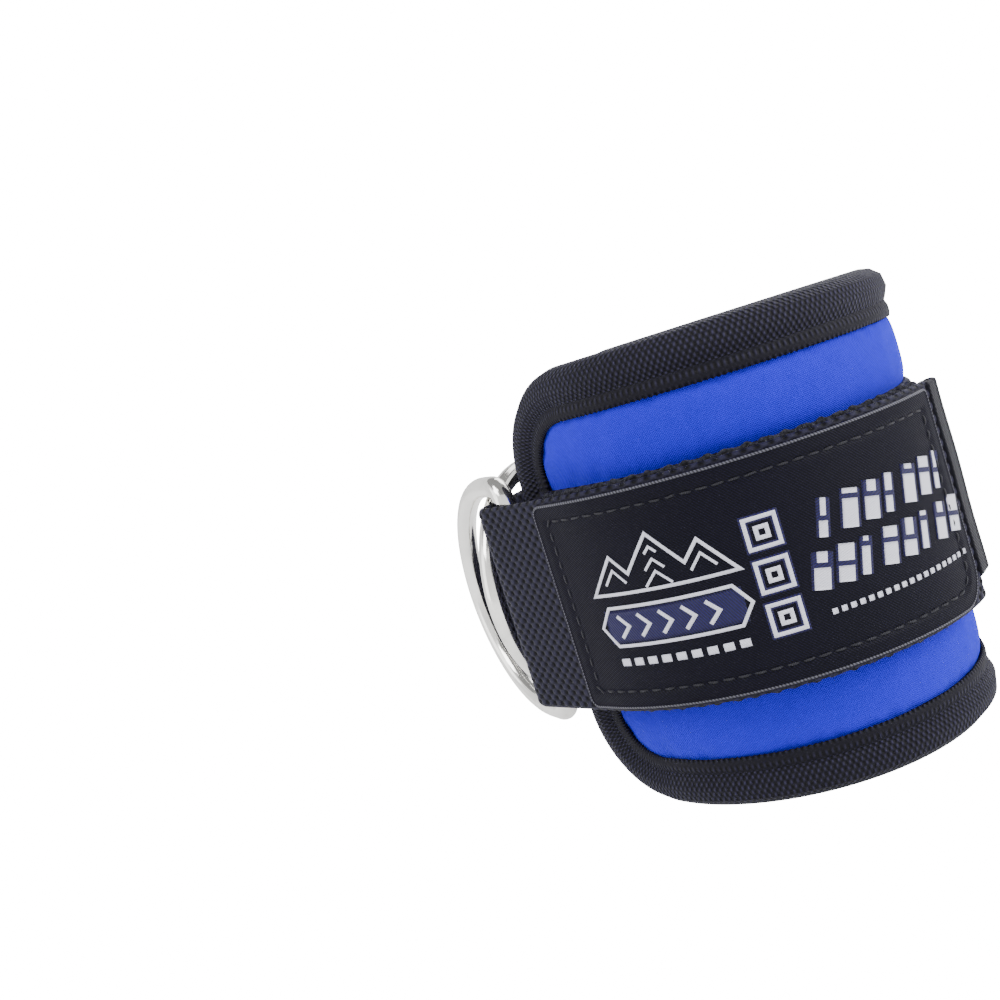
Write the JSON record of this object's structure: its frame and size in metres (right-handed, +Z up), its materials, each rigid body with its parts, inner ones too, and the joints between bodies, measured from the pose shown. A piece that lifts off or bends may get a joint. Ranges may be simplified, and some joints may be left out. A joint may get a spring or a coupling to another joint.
{
  "type": "ankle cuff",
  "caption": "Padded ankle cuff with a hook-and-loop strap and two D-rings that clip to a cable or weight.",
  "frame": {"origin": "middle of the round ankle opening, half way up the cuff", "axes": "+Z up along the leg, -Y to the front where the two rings hang, +X to the side with the labelled tail"},
  "size_m": [0.0979, 0.1256, 0.1],
  "materials": {
    "foam": "closed-cell neoprene foam, matt",
    "blue_jersey": "knitted nylon jersey face, soft sheen",
    "black_lining": "knitted lining, matt",
    "binding_tape": "woven nylon edge tape, low sheen",
    "thread": "bonded sewing thread",
    "webbing": "coarse woven nylon webbing",
    "loop_pile": "brushed loop pile, matt",
    "hook_tape": "hook tape with scalloped selvedge",
    "ring_steel": "polished nickel-plated steel wire",
    "label_satin": "woven satin with light and navy threads"
  },
  "bodies": {
    "cuff": {"foam_core": "foam", "face_fabric": "blue_jersey", "inner_lining": "black_lining", "edge_binding": "binding_tape", "binding_thread_outer": "thread", "binding_thread_inner": "thread", "base_strap": "webbing", "base_strap_stitching": "thread", "loop_tape": "loop_pile", "ring_keeper_label_side": "webbing", "ring_keeper_plain_side": "webbing", "keeper_bartack_label_side": "thread", "keeper_bartack_plain_side": "thread", "closing_strap": "webbing", "closing_strap_stitching": "thread"},
    "label_ring": {"d_ring_label_side": "ring_steel"},
    "plain_ring": {"d_ring_plain_side": "ring_steel"},
    "tail": {"tail_webbing": "webbing", "hook_tape": "hook_tape", "label_patch": "label_satin", "label_stitching": "thread", "end_tab": "binding_tape"}
  },
  "joints": [
    {"name": "label_ring_swing", "type": "hinge", "parent": "cuff", "child": "label_ring", "pos_m": [0.02, -0.0497, 0], "axis": [0, 0, 1], "range_deg": [0, 110]},
    {"name": "plain_ring_swing", "type": "hinge", "parent": "cuff", "child": "plain_ring", "pos_m": [-0.02, -0.0497, 0], "axis": [0, 0, -1], "range_deg": [0, 66]},
    {"name": "tail_peel", "type": "hinge", "parent": "cuff", "child": "tail", "pos_m": [0.02, -0.0497, 0], "axis": [0, 0, -1], "range_deg": [0, 60]}
  ],
  "couplings": [
    {"joint": "plain_ring_swing", "follows": "label_ring_swing", "ratio": 0.6}
  ]
}
